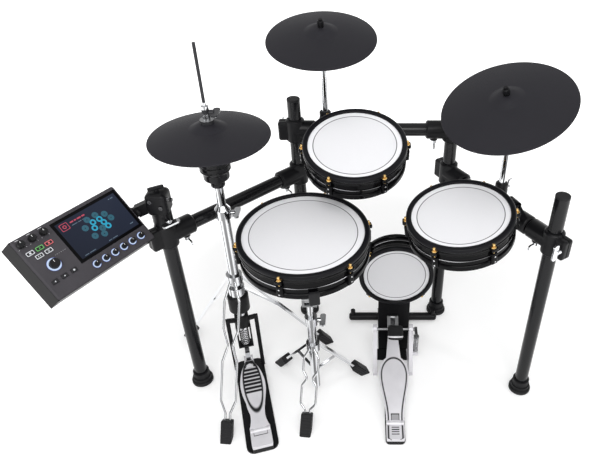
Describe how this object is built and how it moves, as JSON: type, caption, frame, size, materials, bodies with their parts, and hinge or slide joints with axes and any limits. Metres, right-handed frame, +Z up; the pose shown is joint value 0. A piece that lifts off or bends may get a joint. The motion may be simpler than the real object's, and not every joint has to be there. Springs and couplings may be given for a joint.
{
  "type": "electronic drum kit",
  "caption": "Electronic drum kit: mesh-head pads and rubber cymbals on a tubular rack with a sound module, hi-hat stand, snare stand and kick pedal.",
  "frame": {"origin": "on the floor under the middle of the kick pad's playing face, on the underside of the kick tower's base plate", "axes": "+X to the player's right along the rear rail, +Y away from the player, +Z up"},
  "size_m": [1.3216, 0.8055, 1.068],
  "materials": {
    "rack_black": "satin",
    "clamp_black": "moulded satin",
    "rubber_black": "matte",
    "chrome": "polished",
    "cymbal_grey": "matte",
    "shell_black": "gloss",
    "hoop_grey": "matte",
    "mesh_white": "woven mesh",
    "pedal_black": "satin",
    "board_silver": "satin",
    "steel": "plated",
    "beater_felt": "pressed felt",
    "module_grey": "fine grain",
    "screen_glass": "glossy",
    "knob_black": "satin",
    "key_white": "translucent satin",
    "key_green": "translucent satin",
    "key_red": "translucent satin"
  },
  "bodies": {
    "rack": {"rack_posts": "rack_black", "rack_rails": "rack_black", "rack_clamps": "clamp_black", "post_ends": "rubber_black", "wing_bolts": "chrome", "module_bracket": "clamp_black", "hat_stand": "chrome", "hat_controller": "clamp_black", "hat_pedal_frame": "pedal_black", "hat_spring": "steel", "stand_feet": "rubber_black", "snare_stand": "chrome", "kick_tower": "pedal_black", "kick_shell": "shell_black", "kick_head": "mesh_white", "kick_pedal_frame": "pedal_black", "kick_spring": "steel"},
    "crash_arm": {"crash_rod": "chrome"},
    "crash_plate": {"crash_cymbal": "cymbal_grey"},
    "ride_arm": {"ride_rod": "chrome"},
    "ride_plate": {"ride_cymbal": "cymbal_grey"},
    "tom_high": {"tom_high_shell": "shell_black", "tom_high_hoop": "hoop_grey", "tom_high_head": "mesh_white"},
    "tom_low": {"tom_low_shell": "shell_black", "tom_low_hoop": "hoop_grey", "tom_low_head": "mesh_white"},
    "snare_post": {"snare_stand_post": "chrome"},
    "snare": {"snare_basket": "chrome", "basket_grips": "rubber_black", "snare_shell": "shell_black", "snare_hoop": "hoop_grey", "snare_head": "mesh_white"},
    "hat_pedal": {"hat_footboard": "board_silver"},
    "hat_rod": {"hat_rod": "chrome", "hat_cymbal": "cymbal_grey"},
    "kick_pedal": {"kick_footboard": "board_silver"},
    "kick_beater": {"kick_beater": "chrome", "beater_head": "beater_felt"},
    "kick_link": {"kick_link": "steel"},
    "module": {"module_case": "module_grey", "touch_screen": "screen_glass"},
    "volume_knob_1": {"volume_knob_1": "knob_black"},
    "volume_knob_2": {"volume_knob_2": "knob_black"},
    "volume_knob_3": {"volume_knob_3": "knob_black"},
    "pad_knob_1": {"pad_knob_1": "knob_black"},
    "pad_knob_2": {"pad_knob_2": "knob_black"},
    "pad_knob_3": {"pad_knob_3": "knob_black"},
    "pad_knob_4": {"pad_knob_4": "knob_black"},
    "pad_knob_5": {"pad_knob_5": "knob_black"},
    "pad_knob_6": {"pad_knob_6": "knob_black"},
    "menu_dial": {"menu_dial": "knob_black"},
    "stop_button": {"stop_button": "key_white"},
    "play_button": {"play_button": "key_green"},
    "record_button": {"record_button": "key_red"},
    "click_button": {"click_button": "key_white"},
    "loop_button": {"loop_button": "key_white"},
    "left_button": {"left_button": "key_white"},
    "right_button": {"right_button": "key_white"},
    "enter_button": {"enter_button": "key_white"}
  },
  "joints": [
    {"name": "crash_height", "type": "slide", "parent": "rack", "child": "crash_arm", "axis": [0, 0, 1], "range_m": [-0.06, 0.06]},
    {"name": "crash_rock", "type": "hinge", "parent": "crash_arm", "child": "crash_plate", "pos_m": [-0.215, 0.20904, 0.99448], "axis": [-1, 0, 0], "range_deg": [-8, 8], "stiffness_Nm_per_rad": 2},
    {"name": "ride_height", "type": "slide", "parent": "rack", "child": "ride_arm", "axis": [0, 0, 1], "range_m": [-0.015, 0.015]},
    {"name": "ride_rock", "type": "hinge", "parent": "ride_arm", "child": "ride_plate", "pos_m": [0.25529, -0.03015, 0.90533], "axis": [-0.6428, 0.766, 0], "range_deg": [-8, 8], "stiffness_Nm_per_rad": 3},
    {"name": "tom_high_tilt", "type": "hinge", "parent": "rack", "child": "tom_high", "pos_m": [-0.122, 0.13567, 0.78525], "axis": [-1, 0, 0], "range_deg": [-2, 10]},
    {"name": "tom_low_tilt", "type": "hinge", "parent": "rack", "child": "tom_low", "pos_m": [0.29026, -0.11461, 0.65637], "axis": [-0.4266, 0.904, 0.0283], "range_deg": [-8, 8]},
    {"name": "snare_height", "type": "slide", "parent": "rack", "child": "snare_post", "axis": [0, 0, 1], "range_m": [-0.035, 0.02]},
    {"name": "snare_tilt", "type": "hinge", "parent": "snare_post", "child": "snare", "pos_m": [-0.251, -0.18065, 0.38544], "axis": [1, 0, 0], "range_deg": [-10, 8]},
    {"name": "hat_pedal", "type": "hinge", "parent": "rack", "child": "hat_pedal", "pos_m": [-0.39975, -0.35542, 0.028], "axis": [-0.9613, -0.2756, 0], "range_deg": [0, 5.1], "stiffness_Nm_per_rad": 6, "springref_deg": -17.19},
    {"name": "hat_pull", "type": "slide", "parent": "rack", "child": "hat_rod", "axis": [0, 0, -1], "range_m": [0, 0.0226], "deforming": ["hat_spring"]},
    {"name": "kick_pedal", "type": "hinge", "parent": "rack", "child": "kick_pedal", "pos_m": [-0.008, -0.33, 0.024], "axis": [-1, 0, 0], "range_deg": [0, 6.2], "stiffness_Nm_per_rad": 8, "springref_deg": -20.05},
    {"name": "kick_swing", "type": "hinge", "parent": "rack", "child": "kick_beater", "pos_m": [-0.008, -0.05, 0.13], "axis": [-1, 0, 0], "range_deg": [0, 55.2], "deforming": ["kick_spring"]},
    {"name": "kick_link_turn", "type": "hinge", "parent": "kick_beater", "child": "kick_link", "pos_m": [-0.008, -0.01452, 0.14847], "axis": [-1, 0, 0], "range_deg": [-67.5, 0]},
    {"name": "module_tilt", "type": "hinge", "parent": "rack", "child": "module", "pos_m": [-0.68303, -0.17096, 0.65929], "axis": [0.518, 0.8554, 0], "range_deg": [-12, 12]},
    {"name": "volume_knob_1_turn", "type": "hinge", "parent": "module", "child": "volume_knob_1", "pos_m": [-0.84469, -0.3769, 0.719], "axis": [0.5942, -0.3599, 0.7193], "range_deg": [-150, 150]},
    {"name": "volume_knob_2_turn", "type": "hinge", "parent": "module", "child": "volume_knob_2", "pos_m": [-0.83039, -0.35329, 0.719], "axis": [0.5942, -0.3599, 0.7193], "range_deg": [-150, 150]},
    {"name": "volume_knob_3_turn", "type": "hinge", "parent": "module", "child": "volume_knob_3", "pos_m": [-0.81609, -0.32969, 0.719], "axis": [0.5942, -0.3599, 0.7193], "range_deg": [-150, 150]},
    {"name": "menu_dial_turn", "type": "hinge", "parent": "module", "child": "menu_dial", "pos_m": [-0.78541, -0.37983, 0.66856], "axis": [0.5942, -0.3599, 0.7193], "continuous": true},
    {"name": "pad_knob_1_turn", "type": "hinge", "parent": "module", "child": "pad_knob_1", "pos_m": [-0.7161, -0.33553, 0.63348], "axis": [0.5942, -0.3599, 0.7193], "range_deg": [-150, 150]},
    {"name": "pad_knob_2_turn", "type": "hinge", "parent": "module", "child": "pad_knob_2", "pos_m": [-0.70269, -0.31337, 0.63348], "axis": [0.5942, -0.3599, 0.7193], "range_deg": [-150, 150]},
    {"name": "pad_knob_3_turn", "type": "hinge", "parent": "module", "child": "pad_knob_3", "pos_m": [-0.68927, -0.29122, 0.63348], "axis": [0.5942, -0.3599, 0.7193], "range_deg": [-150, 150]},
    {"name": "pad_knob_4_turn", "type": "hinge", "parent": "module", "child": "pad_knob_4", "pos_m": [-0.67585, -0.26906, 0.63348], "axis": [0.5942, -0.3599, 0.7193], "range_deg": [-150, 150]},
    {"name": "pad_knob_5_turn", "type": "hinge", "parent": "module", "child": "pad_knob_5", "pos_m": [-0.66244, -0.24691, 0.63348], "axis": [0.5942, -0.3599, 0.7193], "range_deg": [-150, 150]},
    {"name": "pad_knob_6_turn", "type": "hinge", "parent": "module", "child": "pad_knob_6", "pos_m": [-0.64902, -0.22476, 0.63348], "axis": [0.5942, -0.3599, 0.7193], "range_deg": [-150, 150]},
    {"name": "stop_button_press", "type": "slide", "parent": "module", "child": "stop_button", "axis": [-0.5942, 0.3599, -0.7193], "range_m": [0, 0.0012], "stiffness_N_per_m": 400, "springref_m": -0.002},
    {"name": "play_button_press", "type": "slide", "parent": "module", "child": "play_button", "axis": [-0.5942, 0.3599, -0.7193], "range_m": [0, 0.0012], "stiffness_N_per_m": 400, "springref_m": -0.002},
    {"name": "record_button_press", "type": "slide", "parent": "module", "child": "record_button", "axis": [-0.5942, 0.3599, -0.7193], "range_m": [0, 0.0012], "stiffness_N_per_m": 400, "springref_m": -0.002},
    {"name": "click_button_press", "type": "slide", "parent": "module", "child": "click_button", "axis": [-0.5942, 0.3599, -0.7193], "range_m": [0, 0.0012], "stiffness_N_per_m": 400, "springref_m": -0.002},
    {"name": "loop_button_press", "type": "slide", "parent": "module", "child": "loop_button", "axis": [-0.5942, 0.3599, -0.7193], "range_m": [0, 0.0012], "stiffness_N_per_m": 400, "springref_m": -0.002},
    {"name": "left_button_press", "type": "slide", "parent": "module", "child": "left_button", "axis": [-0.5942, 0.3599, -0.7193], "range_m": [0, 0.0012], "stiffness_N_per_m": 400, "springref_m": -0.002},
    {"name": "right_button_press", "type": "slide", "parent": "module", "child": "right_button", "axis": [-0.5942, 0.3599, -0.7193], "range_m": [0, 0.0012], "stiffness_N_per_m": 400, "springref_m": -0.002},
    {"name": "enter_button_press", "type": "slide", "parent": "module", "child": "enter_button", "axis": [-0.5942, 0.3599, -0.7193], "range_m": [0, 0.0012], "stiffness_N_per_m": 400, "springref_m": -0.002}
  ],
  "couplings": [
    {"joint": "hat_pull", "follows": "hat_pedal", "m_per_rad": 0.24828},
    {"joint": "kick_swing", "follows": "kick_pedal", "ratio": 8.871},
    {"joint": "kick_link_turn", "follows": "kick_pedal", "ratio": -10.806}
  ]
}
